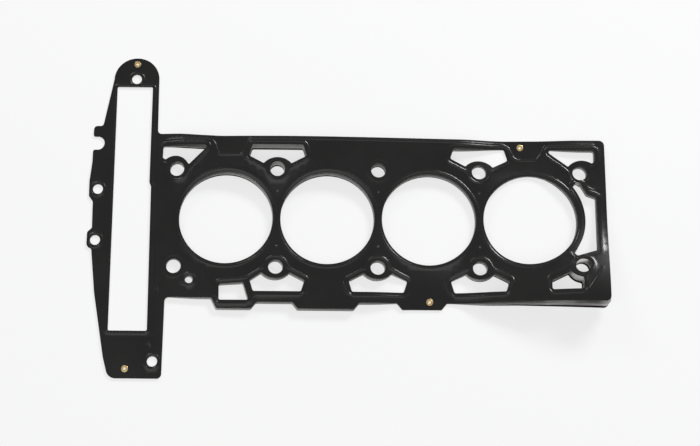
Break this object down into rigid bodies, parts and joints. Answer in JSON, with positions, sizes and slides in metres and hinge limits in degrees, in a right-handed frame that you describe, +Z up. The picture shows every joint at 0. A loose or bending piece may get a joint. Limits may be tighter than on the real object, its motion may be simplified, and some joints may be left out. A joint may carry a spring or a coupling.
{
  "type": "cylinder head gasket",
  "caption": "Multi-layer steel cylinder head gasket with an integral timing chain case frame, embossed beads and riveted eyelets, its unbolted sheets sprung apart.",
  "frame": {"origin": "centre of the head bolt pattern, on the plane that the lowest beads rest on", "axes": "+X along the row of bores away from the chain case, +Y to the back edge, +Z up through the sheets"},
  "size_m": [0.4923, 0.3157, 0.026],
  "materials": {
    "coated_steel": "thin satin black rubber coating on sheet steel",
    "bare_steel": "bare cold-rolled sheet",
    "brass": "bright rolled eyelet"
  },
  "bodies": {
    "root": {"bottom_sheet": "coated_steel", "stopper_sheet": "bare_steel", "spacer_sheet": "bare_steel", "top_sheet": "coated_steel", "eyelet_chain_back": "brass", "eyelet_chain_front": "brass", "eyelet_deck_back": "brass", "eyelet_deck_front": "brass"}
  },
  "joints": []
}
